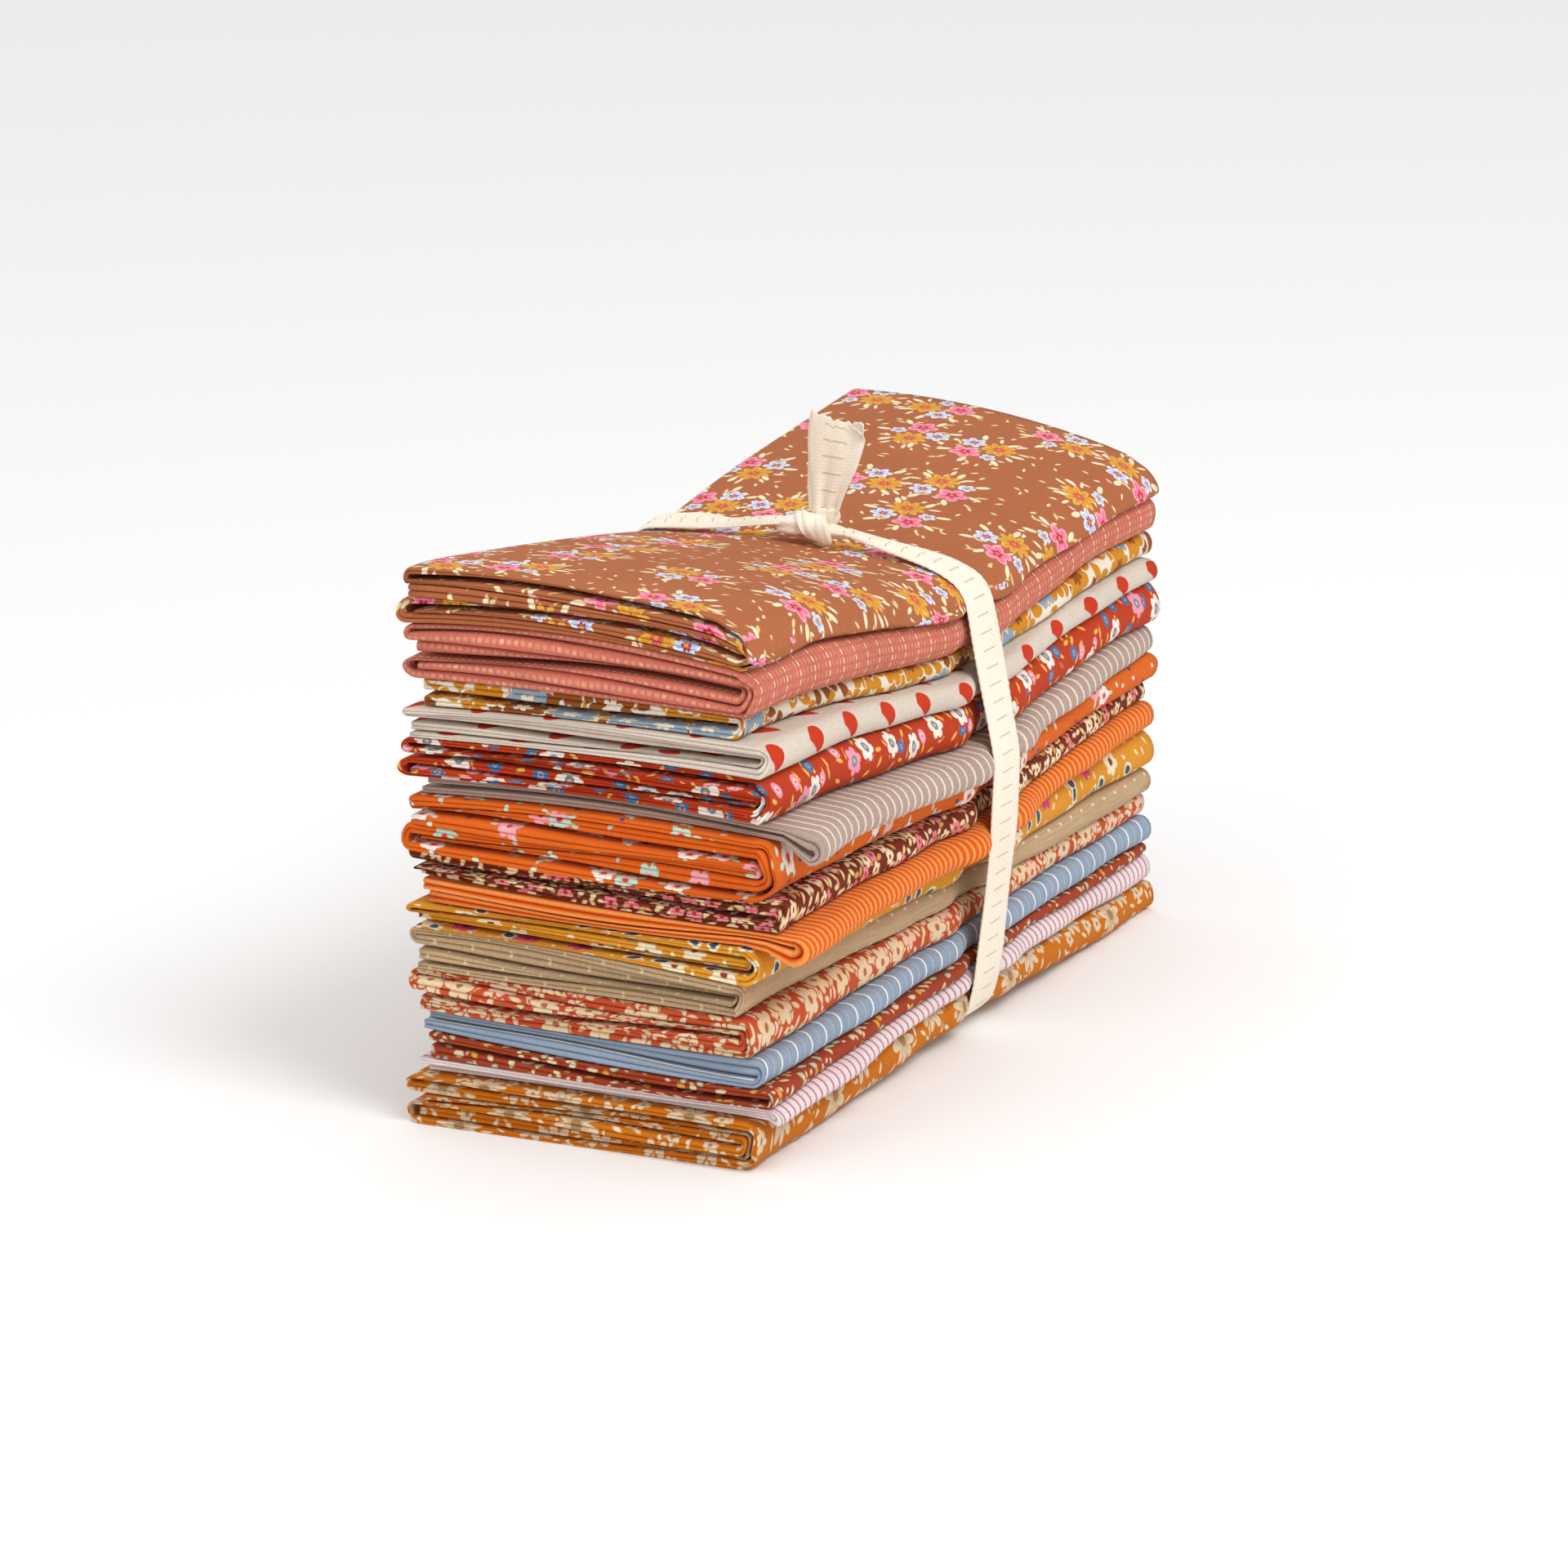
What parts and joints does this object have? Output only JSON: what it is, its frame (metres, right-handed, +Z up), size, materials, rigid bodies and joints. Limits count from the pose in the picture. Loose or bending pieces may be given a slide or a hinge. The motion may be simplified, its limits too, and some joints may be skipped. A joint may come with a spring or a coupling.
{
  "type": "fat quarter fabric bundle tied with ribbon",
  "caption": "Stack of folded printed cotton fat quarters, pinched at the waist and tied with a cream cotton ribbon, knotted on top, its free ends standing up.",
  "frame": {"origin": "middle of the footprint, on the surface that the bundle stands on", "axes": "+X along the length, from the end with doubled folds to the end with raw edges; the long front folds face -Y; +Z up"},
  "size_m": [0.25, 0.1098, 0.1554],
  "materials": {
    "floral_brown": "warm brown quilting cotton with mustard, pink and pale blue flower sprays",
    "dashed_coral": "coral woven cotton with rows of cream dashes",
    "blooms_cream": "cream cotton with large mustard, blue-grey and brown blooms",
    "drops_grey": "pale grey-beige cotton with spaced red drops",
    "meadow_red": "rust red cotton with small white, pink and blue flowers and yellow dashes",
    "pinstripe_taupe": "taupe cotton with cream pinstripes",
    "sprigs_orange": "orange cotton with sparse small flowers",
    "posies_dark": "dark red-brown cotton crowded with small cream and pink flowers",
    "stripe_orange": "orange cotton with fine stripes",
    "motifs_mustard": "mustard cotton with navy, pink and cream motifs",
    "ticks_beige": "beige woven cotton with sparse cream ticks",
    "leaves_terracotta": "terracotta cotton dense with cream flowers and leaves",
    "stripe_blue": "blue-grey cotton with thin white stripes",
    "sprigs_rust": "rust cotton with small pale green and cream leaves",
    "stripe_pink": "pale pink and white striped cotton",
    "daisies_ochre": "ochre cotton with cream-beige daisies",
    "ribbon": "cream cotton tape with a fine cross rib and soft selvages"
  },
  "bodies": {
    "root": {"floral_brown": "floral_brown", "dashed_coral": "dashed_coral", "blooms_cream": "blooms_cream", "drops_grey": "drops_grey", "meadow_red": "meadow_red", "pinstripe_taupe": "pinstripe_taupe", "sprigs_orange": "sprigs_orange", "posies_dark": "posies_dark", "stripe_orange": "stripe_orange", "motifs_mustard": "motifs_mustard", "ticks_beige": "ticks_beige", "leaves_terracotta": "leaves_terracotta", "stripe_blue": "stripe_blue", "sprigs_rust": "sprigs_rust", "stripe_pink": "stripe_pink", "daisies_ochre": "daisies_ochre", "ribbon_band": "ribbon", "ribbon_knot": "ribbon", "ribbon_tail_front": "ribbon", "ribbon_tail_back": "ribbon"}
  },
  "joints": []
}
